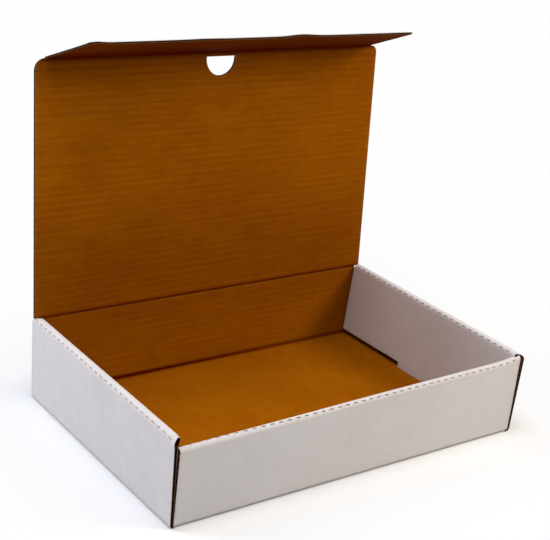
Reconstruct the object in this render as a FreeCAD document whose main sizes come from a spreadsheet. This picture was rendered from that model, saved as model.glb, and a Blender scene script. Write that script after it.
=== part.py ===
import FreeCAD, Part
"""Archive box folded from one sheet of corrugated board, standing open.

The box is a low tray with a hinged lid and a tuck flap, all of one sheet. The sheet is
held as three solids, because the lid turns on the back wall and the tuck flap turns on
the lid: tray, lid and tuck_flap.

Frame: millimetres, +Z up, origin at the centre of the tray's underside. The front wall
faces -Y, the lid is hinged on the back wall at +Y, and X runs along the long side.
"""
import os
import re
import Sketcher

# ---------------------------------------------------------------- driving dimensions
SIZES = (
    ("board", 2.8, "thickness of the corrugated board"),
    ("width", 352.0, "outside width of the tray"),
    ("depth", 231.0, "outside depth of the tray, front to back"),
    ("side_height", 73.0, "height of the rolled side walls"),
    ("front_drop", 4.0, "how far the front wall's top is below the side walls' tops"),
    ("front_strip", 7.4, "depth of the front wall's top strip"),
    ("ply_gap", 0.3, "free space between two plies of a rolled wall"),
    ("fold_radius", 2.2, "outside radius of a fold"),
    ("ply_lift", 5.0, "free height under an inner ply"),
    ("ply_back_gap", 2.3, "gap between an inner side ply and the back wall"),
    ("ply_front_gap", 0.5, "gap between an inner side ply and the front roll"),
    ("side_tab", 50.0, "width of the lock tab under an inner side ply"),
    ("front_tab", 36.0, "width of a lock tab under the inner front ply"),
    ("front_tab_place", 85.0, "distance of a front lock tab from the middle"),
    ("tab_clearance", 0.4, "clearance all round a lock tab in its slot"),
    ("tab_recess", 0.3, "how far a lock tab stops above the underside"),
    ("corner_flap", 55.0, "length of a corner flap inside a side wall"),
    ("corner_flap_drop", 6.0, "how far a corner flap stops below its wall's top"),
    ("corner_flap_lift", 1.0, "free height under a corner flap"),
    ("cut_length", 4.0, "length of one cut of a perforated crease"),
    ("cut_width", 0.7, "width of one cut of a perforated crease"),
    ("cut_pitch", 8.0, "pitch of the cuts along a perforated crease"),
    ("hinge_gap", 0.3, "free space at a fold that moves"),
    ("lid_lean", 3.65, "how far the open lid leans back, in degrees"),
    ("tuck_clearance", 1.2, "clearance of the closed tuck flap behind the front wall"),
    ("flap_length", 67.3, "length of the tuck flap from its fold"),
    ("flap_bend", 71.6, "how far the tuck flap is folded from the lid, in degrees"),
    ("flap_side_gap", 0.5, "clearance of the tuck flap beside an inner side ply"),
    ("flap_taper", 3.0, "how far each end of the tuck flap slants in"),
    ("flap_corner", 4.0, "radius of the tuck flap's free corners"),
    ("thumb_width", 30.0, "width of the thumb hole"),
    ("thumb_depth", 17.0, "depth of the thumb hole"),
    ("thumb_drop", 4.0, "distance of the thumb hole's flat edge from the lid's fold"),
)
SIZE_NAMES = re.compile(r"\b(" + "|".join(name for name, _, _ in SIZES) + r")\b")

# ------------------------------------------------- places worked out from those sizes
HALF_WIDTH = "(width / 2)"
BACK = "(depth / 2)"
FRONT = "(-depth / 2)"
FOLD_RADIUS = "min(fold_radius; 0.8 * board)"
# A rolled side wall holds three plies: outer ply, corner flap and inner ply.
SIDE_INSIDE = "(width / 2 - 3 * board - 2 * ply_gap)"
# The front and back walls stand between the outer side plies.
WALL_END = "(width / 2 - board - ply_gap)"
# The front roll stands between the corner flaps.
ROLL_END = "(width / 2 - 2 * board - 2 * ply_gap)"
ROLL_BACK = "(-depth / 2 + front_strip)"
FRONT_TOP = "(side_height - front_drop)"
PLY_FRONT = "(-depth / 2 + front_strip + ply_front_gap)"
PLY_BACK = "(depth / 2 - board - ply_back_gap)"
PLY_FOOT = "(board + ply_lift)"
HINGE_Y = "(depth / 2 - board / 2)"
HINGE_Z = "(side_height + hinge_gap + board / 2)"
# The lid's fold lands behind the front roll when the lid is shut.
LID_LENGTH = "(depth - board - front_strip - tuck_clearance)"
FLAP_HALF = "(width / 2 - 3 * board - 2 * ply_gap - flap_side_gap)"
LID_CORNER = "(3 * board + 2 * ply_gap + flap_side_gap)"
# A moving panel starts half a board and one gap away from its fold's axis.
PANEL_START = "(board / 2 + hinge_gap)"
HALF_BOARD = "(board / 2)"
# The edge at a moving fold is rounded over almost the whole thickness.
HALF_ROUND = "(0.49 * board)"
THUMB_TOP = f"({LID_LENGTH} - thumb_drop)"
THUMB_CENTRE = f"({LID_LENGTH} - thumb_drop - thumb_depth + thumb_width / 2)"
# A perforation cut reaches a little past both faces of the board at its fold.
CUT_DEPTH = "(1.6 * board)"
# What is cut right through is cut with this to spare on both sides, in millimetres.
SPARE = "1"

SIDES = (("left", -1), ("right", 1))
TOLERANCE = 1e-4


# --------------------------------------------------------------- sizes and expressions
def bound(text):
    """Turn the names of sizes in an expression into references to the sheet."""
    return SIZE_NAMES.sub(r"Sizes.\1", text)


def add_sizes(doc):
    sheet = doc.addObject("Spreadsheet::Sheet", "Sizes")
    for row, (name, size, meaning) in enumerate(SIZES, start=1):
        sheet.set(f"A{row}", name)
        sheet.set(f"B{row}", str(size))
        sheet.set(f"C{row}", meaning)
        sheet.setAlias(f"B{row}", name)
    doc.recompute()
    return sheet


def value(text):
    """Value of an expression at the sheet's present sizes."""
    return float(FreeCAD.ActiveDocument.Sizes.evalExpression(bound(text)))


def outward(side, inner, outer):
    """(low, high) along X of what lies between two distances from the middle."""
    if side > 0:
        return inner, outer
    return f"-({outer})", f"-({inner})"


def around(middle, width):
    return f"{middle} - {width} / 2", f"{middle} + {width} / 2"


# ------------------------------------------------------------------- bodies and solids
def new_body(doc, name):
    body = doc.addObject("PartDesign::Body", name)
    body.Label = name
    return body


def origin_feature(body, role):
    return next(item for item in body.Origin.OriginFeatures if item.Role == role)


def box(body, name, x, y, z, cut=False):
    """A block between (low, high) places along X, Y and Z, added or cut away."""
    kind = "PartDesign::SubtractiveBox" if cut else "PartDesign::AdditiveBox"
    feature = body.newObject(kind, name)
    for size, place, (low, high) in zip(("Length", "Width", "Height"), "xyz", (x, y, z)):
        feature.setExpression(size, bound(f"({high}) - ({low})"))
        feature.setExpression(f"Placement.Base.{place}", bound(low))
    return feature


def polygon(body, name, plane, corners, height="0"):
    """A closed sketch of straight lines, its corners (x, y) pairs of expressions."""
    sketch = body.newObject("Sketcher::SketchObject", name)
    sketch.AttachmentSupport = [(origin_feature(body, plane), "")]
    sketch.MapMode = "FlatFace"
    sketch.setExpression("AttachmentOffset.Base.z", bound(height))
    points = [FreeCAD.Vector(value(x), value(y), 0) for x, y in corners]
    for start, end in zip(points, points[1:] + points[:1]):
        sketch.addGeometry(Part.LineSegment(start, end))
    for index, corner in enumerate(corners):
        previous = (index - 1) % len(corners)
        sketch.addConstraint(Sketcher.Constraint("Coincident", previous, 2, index, 1))
        for kind, text in zip(("DistanceX", "DistanceY"), corner):
            fixed = Sketcher.Constraint(kind, -1, 1, index, 1, value(text))
            number = sketch.addConstraint(fixed)
            sketch.setExpression(f"Constraints[{number}]", bound(text))
    return sketch


def pad(body, name, sketch, thickness, middle=False):
    feature = body.newObject("PartDesign::Pad", name)
    feature.Profile = sketch
    feature.setExpression("Length", bound(thickness))
    if middle:
        feature.SideType = "Symmetric"
    return feature


def edges_along(shape, axis, places, shortest):
    """Names of the edges along an axis that lie at the given places, but for stubs."""
    found = []
    for number, edge in enumerate(shape.Edges, start=1):
        ends = [vertex.Point for vertex in edge.Vertexes]
        if len(ends) != 2 or edge.Length < value(shortest):
            continue
        across = [name for name in "xyz" if name != axis]
        if any(abs(getattr(ends[0], name) - getattr(ends[1], name)) > TOLERANCE for name in across):
            continue
        for place in places:
            wanted = [(name, value(text)) for name, text in place.items()]
            if all(abs(getattr(ends[0], name) - spot) < TOLERANCE for name, spot in wanted):
                found.append(f"Edge{number}")
    return found


def fillet(body, name, radius, *groups, shortest="0"):
    """Round edges of the body's tip, each group being (axis, places)."""
    body.Document.recompute()
    base = body.Tip
    names = []
    for axis, places in groups:
        names += edges_along(base.Shape, axis, places, shortest)
    feature = body.newObject("PartDesign::Fillet", name)
    feature.Base = (base, names)
    feature.Refine = False
    feature.setExpression("Radius", bound(radius))
    return feature


def perforate(body, name, axis, lean, fold, height, middle, length):
    """One row of cuts through a fold, along "x" or "y".

    fold is the place across the row, and height the place above the underside, of the
    fold's sharp outer corner. Each cut is turned by 45 degrees, so that it passes from
    that corner to the inner one, and its top leans towards +1 or -1 across the row.
    """
    across = "y" if axis == "x" else "x"
    count = f"(floor(({length} - cut_length) / cut_pitch) + 1)"
    reach = f"(({count} - 1) * cut_pitch)"
    cut = body.newObject("PartDesign::SubtractiveBox", name)
    turn_axis = FreeCAD.Vector(1, 0, 0) if axis == "x" else FreeCAD.Vector(0, 1, 0)
    turn = -45 * lean if axis == "x" else 45 * lean
    cut.Placement.Rotation = FreeCAD.Rotation(turn_axis, turn)
    sizes = ("cut_length", "cut_width") if axis == "x" else ("cut_width", "cut_length")
    cut.Refine = False
    cut.setExpression("Length", bound(sizes[0]))
    cut.setExpression("Width", bound(sizes[1]))
    cut.setExpression("Height", bound(CUT_DEPTH))
    start = f"{middle} - ({reach} + cut_length) / 2"
    beside = f"{fold} - {lean} * board / 2 - (cut_width + {lean} * {CUT_DEPTH}) / 2 * cos(45)"
    below = f"{height} - board / 2 - ({CUT_DEPTH} - {lean} * cut_width) / 2 * cos(45)"
    cut.setExpression(f"Placement.Base.{axis}", bound(start))
    cut.setExpression(f"Placement.Base.{across}", bound(beside))
    cut.setExpression("Placement.Base.z", bound(below))
    row = body.newObject("PartDesign::LinearPattern", f"{name}Row")
    row.Originals = [cut]
    row.Refine = False
    row.Direction = (origin_feature(body, f"{axis.upper()}_Axis"), [""])
    row.Mode = "Extent"
    row.setExpression("Length", bound(reach))
    row.setExpression("Occurrences", bound(count))
    body.Tip = row
    return row


# ------------------------------------------------------------------------------- tray
def build_tray(doc):
    """Floor, rolled side walls, back wall and rolled front wall, with corner flaps."""
    tray = new_body(doc, "tray")
    full_depth = (FRONT, BACK)
    box(tray, "Floor", (f"-{HALF_WIDTH}", HALF_WIDTH), full_depth, ("0", "board"))
    for side_name, side in SIDES:
        add_side_wall(tray, side_name.capitalize(), side)
    add_back_wall(tray)
    front_y = (FRONT, f"{FRONT} + board")
    box(tray, "FrontOuterPly", (f"-{WALL_END}", WALL_END), front_y, ("0", FRONT_TOP))
    cut_corner_slits(tray)
    round_fold(tray, "BackFold", "x", y=BACK, z="0")
    round_fold(tray, "FrontBottomFold", "x", y=FRONT, z="0")
    roll_front_wall(tray)
    for side_name, side in SIDES:
        add_corner_flaps(tray, side_name.capitalize(), side)
    add_lock_tabs(tray)
    perforate_tray(tray)
    return tray


def round_fold(tray, name, axis, **place):
    """Round one fold, leaving the stubs of board beside a slit as they are."""
    fillet(tray, name, FOLD_RADIUS, (axis, [place]), shortest="2 * board")


def add_side_wall(tray, side_name, side):
    """Outer ply, top strip with slanted ends and inner ply of one rolled side wall."""
    edge_x, inside_x = f"{side} * {HALF_WIDTH}", f"{side} * {SIDE_INSIDE}"
    outer_x = outward(side, f"{HALF_WIDTH} - board", HALF_WIDTH)
    inner_x = outward(side, SIDE_INSIDE, f"{SIDE_INSIDE} + board")
    box(tray, f"{side_name}OuterPly", outer_x, (FRONT, BACK), ("0", "side_height"))
    round_fold(tray, f"{side_name}BottomFold", "y", x=edge_x, z="0")
    round_fold(tray, f"{side_name}OuterFold", "y", x=edge_x, z="side_height")
    strip_corners = [
        (f"{HALF_WIDTH} - board", FRONT),
        (f"{HALF_WIDTH} - board", f"{BACK} - board - ply_gap"),
        (f"{SIDE_INSIDE} + board", PLY_BACK),
        (SIDE_INSIDE, PLY_BACK),
        (SIDE_INSIDE, PLY_FRONT),
        (f"{SIDE_INSIDE} + board", PLY_FRONT),
    ]
    placed = [(f"{side} * ({x})", y) for x, y in strip_corners]
    outline = polygon(tray, f"{side_name}StripOutline", "XY_Plane", placed, "side_height - board")
    pad(tray, f"{side_name}Strip", outline, "board")
    box(tray, f"{side_name}InnerPly", inner_x, (PLY_FRONT, PLY_BACK), (PLY_FOOT, "side_height"))
    round_fold(tray, f"{side_name}InnerFold", "y", x=inside_x, z="side_height")


def add_back_wall(tray):
    """The back wall, its top half round about the lid's hinge axis."""
    top = f"{HINGE_Z} + board / 2"
    wall_y = (f"{BACK} - board", BACK)
    box(tray, "BackWall", (f"-{WALL_END}", WALL_END), wall_y, ("0", top))
    hinge_edges = [{"y": y, "z": top} for y in wall_y]
    fillet(tray, "HingeRound", HALF_ROUND, ("x", hinge_edges), shortest="2 * board")


def roll_front_wall(tray):
    """The front wall's rounded creases, top strip and inner ply."""
    roll_span = (f"-{ROLL_END}", ROLL_END)
    inner_y = (f"{ROLL_BACK} - board", ROLL_BACK)
    for side_name, side in SIDES:
        name = f"Front{side_name.capitalize()}Crease"
        round_fold(tray, name, "z", x=f"{side} * {WALL_END}", y=FRONT)
    box(tray, "FrontStrip", roll_span, (FRONT, ROLL_BACK), (f"{FRONT_TOP} - board", FRONT_TOP))
    round_fold(tray, "FrontOuterFold", "x", y=FRONT, z=FRONT_TOP)
    box(tray, "FrontInnerPly", roll_span, inner_y, (PLY_FOOT, FRONT_TOP))
    round_fold(tray, "FrontInnerFold", "x", y=ROLL_BACK, z=FRONT_TOP)


def add_corner_flaps(tray, side_name, side):
    """The front and back walls' corner flaps between the plies of a side wall."""
    flap_x = outward(side, f"{ROLL_END} + ply_gap", WALL_END)
    foot = "board + corner_flap_lift"
    front_top = f"{FRONT_TOP} - corner_flap_drop"
    back_top = "side_height - board - corner_flap_drop"
    front_y = (f"{FRONT} + board", f"{FRONT} + corner_flap")
    back_y = (f"{BACK} - corner_flap", f"{BACK} - board")
    box(tray, f"{side_name}FrontFlap", flap_x, front_y, (foot, front_top))
    box(tray, f"{side_name}BackFlap", flap_x, back_y, (foot, back_top))


def cut_corner_slits(tray):
    """Free the front and back walls from the outer side plies, down through the floor."""
    slit_depth = "board + ply_gap"
    for side_name, side in SIDES:
        slit_x = outward(side, WALL_END, f"{HALF_WIDTH} - board")
        for wall, y in (("Front", (FRONT, f"{FRONT} + {slit_depth}")),
                        ("Back", (f"{BACK} - {slit_depth}", BACK))):
            name = f"{side_name.capitalize()}{wall}Slit"
            box(tray, name, slit_x, y, (f"-{SPARE}", f"board + {SPARE}"), cut=True)


def add_lock_tabs(tray):
    """Tabs under the inner plies, each standing in a slot through the floor."""
    tab_z = ("tab_recess", f"{PLY_FOOT} + {SPARE}")
    slot_z = (f"-{SPARE}", f"board + {SPARE}")
    tabs = []
    for side_name, side in SIDES:
        ply_x = outward(side, SIDE_INSIDE, f"{SIDE_INSIDE} + board")
        tabs.append((f"{side_name.capitalize()}Tab", ply_x, around("0", "side_tab")))
        ply_y = (f"{ROLL_BACK} - board", ROLL_BACK)
        tab_x = around(f"{side} * front_tab_place", "front_tab")
        tabs.append((f"Front{side_name.capitalize()}Tab", tab_x, ply_y))
    for name, x, y in tabs:
        slot_x = (f"{x[0]} - tab_clearance", f"{x[1]} + tab_clearance")
        slot_y = (f"{y[0]} - tab_clearance", f"{y[1]} + tab_clearance")
        box(tray, f"{name}Slot", slot_x, slot_y, slot_z, cut=True)
        box(tray, name, x, y, tab_z)


def perforate_tray(tray):
    """Two perforated creases on each rolled wall."""
    side_length = f"({PLY_BACK} - {PLY_FRONT})"
    side_middle = f"(({PLY_BACK} + {PLY_FRONT}) / 2)"
    for side_name, side in SIDES:
        name = side_name.capitalize()
        outer_x, inner_x = f"{side} * {HALF_WIDTH}", f"{side} * {SIDE_INSIDE}"
        perforate(tray, f"{name}OuterCut", "y", side, outer_x, "side_height", side_middle, side_length)
        perforate(tray, f"{name}InnerCut", "y", -side, inner_x, "side_height", side_middle, side_length)
    roll_length = f"(2 * {ROLL_END})"
    perforate(tray, "FrontOuterCut", "x", -1, FRONT, FRONT_TOP, "0", roll_length)
    perforate(tray, "FrontInnerCut", "x", 1, ROLL_BACK, FRONT_TOP, "0", roll_length)


# -------------------------------------------------------------------------------- lid
def build_lid(doc):
    """Lid panel, drawn upright on its hinge axis and then leaned back."""
    lid = new_body(doc, "lid")
    through = (f"-{HALF_BOARD}", HALF_BOARD)
    panel_x = (f"-{HALF_WIDTH}", HALF_WIDTH)
    box(lid, "Panel", panel_x, through, (PANEL_START, LID_LENGTH))
    corners = [{"x": f"{side} * {HALF_WIDTH}", "z": LID_LENGTH} for _, side in SIDES]
    fillet(lid, "Corners", LID_CORNER, ("y", corners))
    fold_z = (f"{LID_LENGTH} - board", f"{LID_LENGTH} + board / 2")
    box(lid, "FoldEdge", (f"-{FLAP_HALF}", FLAP_HALF), through, fold_z)
    faces = (f"-{HALF_BOARD}", HALF_BOARD)
    fold_edges = [{"y": face, "z": fold_z[1]} for face in faces]
    hinge_edges = [{"y": face, "z": PANEL_START} for face in faces]
    fillet(lid, "FoldRounds", HALF_ROUND, ("x", fold_edges), ("x", hinge_edges))
    cut_thumb_hole(lid)
    lid.Placement.Rotation = FreeCAD.Rotation(FreeCAD.Vector(-1, 0, 0), 1)
    lid.setExpression("Placement.Rotation.Angle", bound("lid_lean"))
    lid.setExpression("Placement.Base.y", bound(HINGE_Y))
    lid.setExpression("Placement.Base.z", bound(HINGE_Z))
    return lid


def cut_thumb_hole(lid):
    """A hole with a flat upper edge, straight sides and a half-round lower edge."""
    hole_x = around("0", "thumb_width")
    hole_y = (f"-{HALF_BOARD} - {SPARE}", f"{HALF_BOARD} + {SPARE}")
    box(lid, "ThumbStraight", hole_x, hole_y, (THUMB_CENTRE, THUMB_TOP), cut=True)
    half_round = lid.newObject("PartDesign::SubtractiveCylinder", "ThumbRound")
    half_round.Placement.Rotation = FreeCAD.Rotation(FreeCAD.Vector(1, 0, 0), -90)
    half_round.Angle = 180
    half_round.setExpression("Radius", bound("thumb_width / 2"))
    half_round.setExpression("Height", bound(f"board + 2 * {SPARE}"))
    half_round.setExpression("Placement.Base.y", bound(hole_y[0]))
    half_round.setExpression("Placement.Base.z", bound(THUMB_CENTRE))


# -------------------------------------------------------------------------- tuck flap
def build_tuck_flap(doc):
    """Tuck flap, drawn upright on its fold axis and then turned to the front."""
    flap = new_body(doc, "tuck_flap")
    corners = [
        (f"-{FLAP_HALF}", PANEL_START),
        (FLAP_HALF, PANEL_START),
        (f"{FLAP_HALF} - flap_taper", "flap_length"),
        (f"-{FLAP_HALF} + flap_taper", "flap_length"),
    ]
    outline = polygon(flap, "PanelOutline", "XZ_Plane", corners)
    pad(flap, "Panel", outline, "board", middle=True)
    free_corners = [{"x": f"{side} * ({FLAP_HALF} - flap_taper)", "z": "flap_length"}
                    for _, side in SIDES]
    fillet(flap, "FreeCorners", "flap_corner", ("y", free_corners))
    fold_edges = [{"y": face, "z": PANEL_START} for face in (f"-{HALF_BOARD}", HALF_BOARD)]
    fillet(flap, "FoldRound", HALF_ROUND, ("x", fold_edges))
    flap.Placement.Rotation = FreeCAD.Rotation(FreeCAD.Vector(1, 0, 0), 1)
    flap.setExpression("Placement.Rotation.Angle", bound("flap_bend - lid_lean"))
    flap.setExpression("Placement.Base.y", bound(f"{HINGE_Y} + {LID_LENGTH} * sin(lid_lean)"))
    flap.setExpression("Placement.Base.z", bound(f"{HINGE_Z} + {LID_LENGTH} * cos(lid_lean)"))
    return flap


# ----------------------------------------------------------------------------- checks
def check_features(body):
    """Every added feature must add volume, and every cut must take some away."""
    before = None
    for feature in body.Group:
        if not feature.isDerivedFrom("PartDesign::Feature"):
            continue
        volume = feature.Shape.Volume
        cuts = "Subtractive" in feature.TypeId or "Fillet" in feature.TypeId
        cuts = cuts or feature.TypeId == "PartDesign::LinearPattern"
        if before is not None and (volume < before) != cuts:
            raise RuntimeError(f"{body.Label}: {feature.Name} changes nothing")
        before = volume


def check_document(doc, bodies):
    for item in doc.Objects:
        if "Invalid" in item.State or "Error" in item.State:
            raise RuntimeError(f"{item.Name} failed: {item.State}")
    for body in bodies:
        shape = body.Shape
        if shape.isNull() or not shape.isValid() or len(shape.Solids) != 1:
            raise RuntimeError(f"{body.Label} is not one valid solid")
        check_features(body)


def main():
    doc = FreeCAD.newDocument("ArchiveBox")
    add_sizes(doc)
    bodies = [build_tray(doc), build_lid(doc), build_tuck_flap(doc)]
    doc.recompute()
    check_document(doc, bodies)
    os.makedirs("parts", exist_ok=True)
    for body in bodies:
        body.Shape.exportStep(f"parts/{body.Label}.step")
        print(body.Label, round(body.Shape.Volume), "mm3", body.Shape.BoundBox)


main()
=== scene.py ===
import math

import bpy
import numpy as np
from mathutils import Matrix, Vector
from mathutils.geometry import delaunay_2d_cdt
from mathutils.kdtree import KDTree


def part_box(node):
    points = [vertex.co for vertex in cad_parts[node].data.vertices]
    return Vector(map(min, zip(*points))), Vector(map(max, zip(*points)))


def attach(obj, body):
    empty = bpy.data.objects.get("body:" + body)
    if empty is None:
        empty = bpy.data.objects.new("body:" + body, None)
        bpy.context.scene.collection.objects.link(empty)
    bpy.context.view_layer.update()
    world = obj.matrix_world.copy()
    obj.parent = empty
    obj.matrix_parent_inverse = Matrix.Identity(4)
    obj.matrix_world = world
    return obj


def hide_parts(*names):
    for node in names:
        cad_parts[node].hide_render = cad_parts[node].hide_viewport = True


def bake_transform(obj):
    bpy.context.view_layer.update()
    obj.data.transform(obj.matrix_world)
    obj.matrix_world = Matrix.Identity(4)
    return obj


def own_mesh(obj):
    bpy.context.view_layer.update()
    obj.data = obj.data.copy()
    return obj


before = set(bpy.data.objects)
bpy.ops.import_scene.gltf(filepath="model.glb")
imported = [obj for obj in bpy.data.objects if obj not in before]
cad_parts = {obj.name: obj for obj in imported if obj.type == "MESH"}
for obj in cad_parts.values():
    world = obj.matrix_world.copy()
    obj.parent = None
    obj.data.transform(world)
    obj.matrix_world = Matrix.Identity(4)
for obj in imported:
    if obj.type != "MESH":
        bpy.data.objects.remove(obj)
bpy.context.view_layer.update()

MM = 0.001
TRAY_WIDTH, TRAY_DEPTH, TRAY_TOP = (round((high - low) / MM, 1) for low, high in zip(*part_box("tray")))

# Sizes are in millimetres. The box as it stands is hand folded: its walls lean out a little,
# their tops rise to the back and the right, and the lid is a touch wider than the tray.
# Pairs keyed -1 and 1 are for the left and the right. Places along a wall run from the
# front or from the left, and places across it run up its outer face and down the inside.

# The board, its flutes and its folds
BOARD = 2.8
LINER = 0.35
MEDIUM = 0.25
FLUTE = 6.1           # from crest to crest
RELIEF = 0.03         # how far the liners sink between the flutes
FOLD = 3.2            # outside radius of a fold

# The tray
WIDTH = TRAY_WIDTH - 1.4
DEPTH = TRAY_DEPTH + 0.4
FLAT = 4.0            # where the floor's flat part ends, from each edge
WALL_END = 3.1        # the front and back walls start this far in from the sides
SIDE_FRONT, SIDE_BACK = 73.6, 75.6      # height of the side walls at each end
LEAN = {-1: 1.5, 1: 3.4}                # how far the side walls' tops lean out
SIDE_STRIP = {-1: 8.75, 1: 8.8}         # width of their top strips
STRIP_RISE = {-1: -0.3, 1: 0.5}         # how far those rise towards the inside
STRIP_START = {-1: 5.6, 1: 4.6}         # how far back a strip's inner corner is cut
PLY_START, PLY_FINISH = 8.3, 4.9        # the inner ply ends this far from the front and back
PLY_FOOT, PLY_FOOT_IN = 7.8, 10.6       # height of its foot, and its place in from the side
END_ZONE = 10.0       # the length at each end of a side wall that is cut to those shapes
END_DROOP = {-1: 3.0, 1: 0.6}           # how far the strips' outer creases sink at the front
DROOP_WIDTH, DROOP_REACH = 4.5, 7.0     # across and along the wall
END_CRUSH, CRUSH_REACH = 1.9, 3.0       # how much thinner the strips' front ends are
FRONT_TOP = 67.6      # height of the front wall, before the rises below
FRONT_LEAN = 0.8      # how far it leans back
FRONT_SKEW = 1.7      # how far its top has slipped to the right
FRONT_STRIP = 7.4
FRONT_ENDS = (3.2, WIDTH - 2.4)         # where it starts and ends
TWIST = (39.0, -12.0)                   # its strip's slope in degrees at each end
STEP_START, STEP_LENGTH = 0.28, 0.3     # where its top rises, as shares of the width
STEP_RISE, SLOW_RISE = 0.35, 0.9        # by how much there, and towards the right
LEFT_LIFT, LEFT_REACH = 0.6, 22.0       # how it is pushed up at its ends
RIGHT_LIFT, RIGHT_REACH = 4.2, 9.0
CUT_SLIDE, SLIDE_WIDTH = 2.1, 5.0       # how far its outer cuts lie back at the left end
SLIDE_REACH = 66.0
BACK_FACE = DEPTH - 3.1                 # the back wall's inner face
BACK_OUT = BACK_FACE + BOARD - DEPTH    # its outer face, out from the floor's back edge
CORNER_FLAP = 55.0
FLAP_MARGIN, BACK_FLAP_MARGIN = 0.6, 3.0        # how far the corner flaps stop short of a fold
SIDE_TAB, FRONT_TAB = 50.0, 36.0        # widths of the lock tabs
FRONT_TAB_CENTRES = (WIDTH / 2 - 85.0, WIDTH / 2 + 85.0)
TAB_END = 0.3         # the lock tabs stop this far above the floor's underside
TAB_PLAY = 0.5        # room about a tab in its slot

# The perforated creases
PITCH, CUT, CUT_WIDTH = 8.0, 3.6, 1.15
LONGEST_CUT = CUT + 0.6         # a longer raw edge isn't the side of a cut
CUT_DEPTH = 0.8       # how far down the crushed flute closes a cut
CUT_DEPTH_SIDE = {-1: 0.35, 1: 0.8}     # the left wall's are nearly shut
FRONT_CUTS, FIRST_FRONT_CUT = 43, 5.1
OUTER_CUTS, OUTER_LAST = 29, 0.7        # the last cuts' places are counted from the back
INNER_CUTS, INNER_LAST = 27, -10.2

# The lid and the tuck flap
HINGE_Z = TRAY_TOP - 2.3
LID, LID_LEAN = 219.6, math.radians(3.64)
LID_OVER = 0.8        # how far the lid stands past the tray at each side
LID_FOOT = 0.9        # where its ends start, above the hinge line
LID_CORNER = {-1: 9.5, 1: 6.5}          # the radius of its top corners
FLAP, FLAP_BEND = 67.8, math.radians(72.8)
FLAP_IN = 8.3         # how far the flap starts in from the tray's sides
FLAP_TAPER, FLAP_CORNER = 4.0, 3.5
FLAP_CRUSH, FLAP_CRUSH_REACH = 1.1, 2.2         # how much thinner the die pressed its edges
FLAP_WAVES = ((0.61, 15.0, 1.3), (0.33, 16.0, 0.3), (0.055, 7.0, 0.8))  # share, width, height
FLAP_WAVE_START = 34.0          # how far from the free edge they begin
SHOULDER = 0.2        # how far the lid's top edge lies below the flap's fold beside it
CREASE, CREASE_RADIUS = 3.5, 12.0       # half the length of board that bends at the hinge
SCORE_DEPTH, SCORE_WIDTH = 0.7, 0.9
TOP_CREASE, TOP_RADIUS = 5.0, 3.6       # the same at the flap's fold
THUMB_W, THUMB_D = 30.0, 17.0
THUMB_DROP = 4.0      # how far the hole's straight edge lies below the fold
THUMB_LEFT, THUMB_RIGHT = WIDTH / 2 - THUMB_W / 2, WIDTH / 2 + THUMB_W / 2

# How finely the meshes are divided
LONG_STEP = 9.0       # along the tray's straight walls
PANEL_STEP = 8.0      # along the flutes of flat panels
SHORT_STEP = 7.0      # along the front wall, which is twisted
CORNER_STEP = 6.0     # along the corner flaps
OUTLINE_STEP = 0.75
CREASE_STEP, TOP_CREASE_STEP = 0.5, 0.6
FLUTE_STEP = FLUTE / 8
FOLD_POINTS = 7
PAST_END = 1000.0     # beyond any panel

# How far wear reaches from a raw edge and from a fold
EDGE_WEAR, FOLD_WEAR = 1.6, 2.2

# The hollows between the liners, as deep as each kind of raw edge shows them
WAVE_REACH, LINE_REACH = 6.0, 4.0
FLOOR_REACH = 0.7
LID_WAVE_REACH, LID_LINE_REACH = 2.5, 0.8

# Texture places: sheet millimetres times this, with the panels set apart on the sheet
SHEET_SCALE = 0.01
APART = 400.0

WHITE, KRAFT, KRAFT_FAINT_FLUTE_SHADE, CORE, HOLLOW, CUT_FACE = range(6)

# The lid's and the flap's directions, from the hinge line up and outward
ACROSS = np.array([1.0, 0.0, 0.0])
LID_UP = np.array([0.0, math.sin(LID_LEAN), math.cos(LID_LEAN)])
LID_OUT = np.array([0.0, math.cos(LID_LEAN), -math.sin(LID_LEAN)])
LID_BASE = np.array([0.0, BACK_FACE, HINGE_Z])
LID_TOP = LID_BASE + LID * LID_UP
FLAP_UP = math.cos(FLAP_BEND) * LID_UP - math.sin(FLAP_BEND) * LID_OUT
FLAP_OUT = math.cos(FLAP_BEND) * LID_OUT + math.sin(FLAP_BEND) * LID_UP


# ------------ mesh making
def unit(vectors):
    return vectors / np.maximum(np.linalg.norm(vectors, axis=-1, keepdims=True), 1e-12)


def normals(corners):
    """The directions that faces look in, by their first three corners."""
    return np.cross(corners[:, 1] - corners[:, 0], corners[:, 2] - corners[:, 0])


def near(distance, width):
    """1 at no distance, falling smoothly away beyond the width."""
    return np.exp(-(distance / width) ** 2)


def fading(distance, length):
    """1 at no distance, falling away at once and then ever more slowly."""
    return np.exp(-np.abs(distance) / length)


def begun(distance, length):
    """0 before the start, 1 once the length is passed."""
    return np.clip(distance / length, 0, 1)


def steps(low, high, pitch, also=()):
    """Even places from low to high, with the given ones put in and close ones dropped."""
    count = max(1, round((high - low) / pitch))
    fixed = sorted({round(x, 4) for x in also if low < x < high} | {low, high})
    even = [x for x in np.linspace(low, high, count + 1)
            if min(abs(x - f) for f in fixed) > 0.3 * pitch]
    return np.array(sorted(fixed + even))


def stretches(flags):
    """(first, last + 1) of every stretch of true flags."""
    edge = np.diff(np.concatenate([[0], np.asarray(flags, int), [0]]))
    return list(zip(np.where(edge == 1)[0], np.where(edge == -1)[0]))


def distances(points, targets):
    """How far each point is from the target nearest to it, in the plane or in space."""
    points, targets = (np.pad(a, ((0, 0), (0, 3 - a.shape[1]))) for a in (points, targets))
    tree = KDTree(len(targets))
    for index, target in enumerate(targets):
        tree.insert(target, index)
    tree.balance()
    return np.array([tree.find(point)[2] for point in points])


def frame_place(points):
    """Millimetres from the floor's front left corner, as metres in the frame."""
    return (np.asarray(points, float) - np.array([WIDTH / 2, DEPTH / 2, 0.0])) * MM


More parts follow.
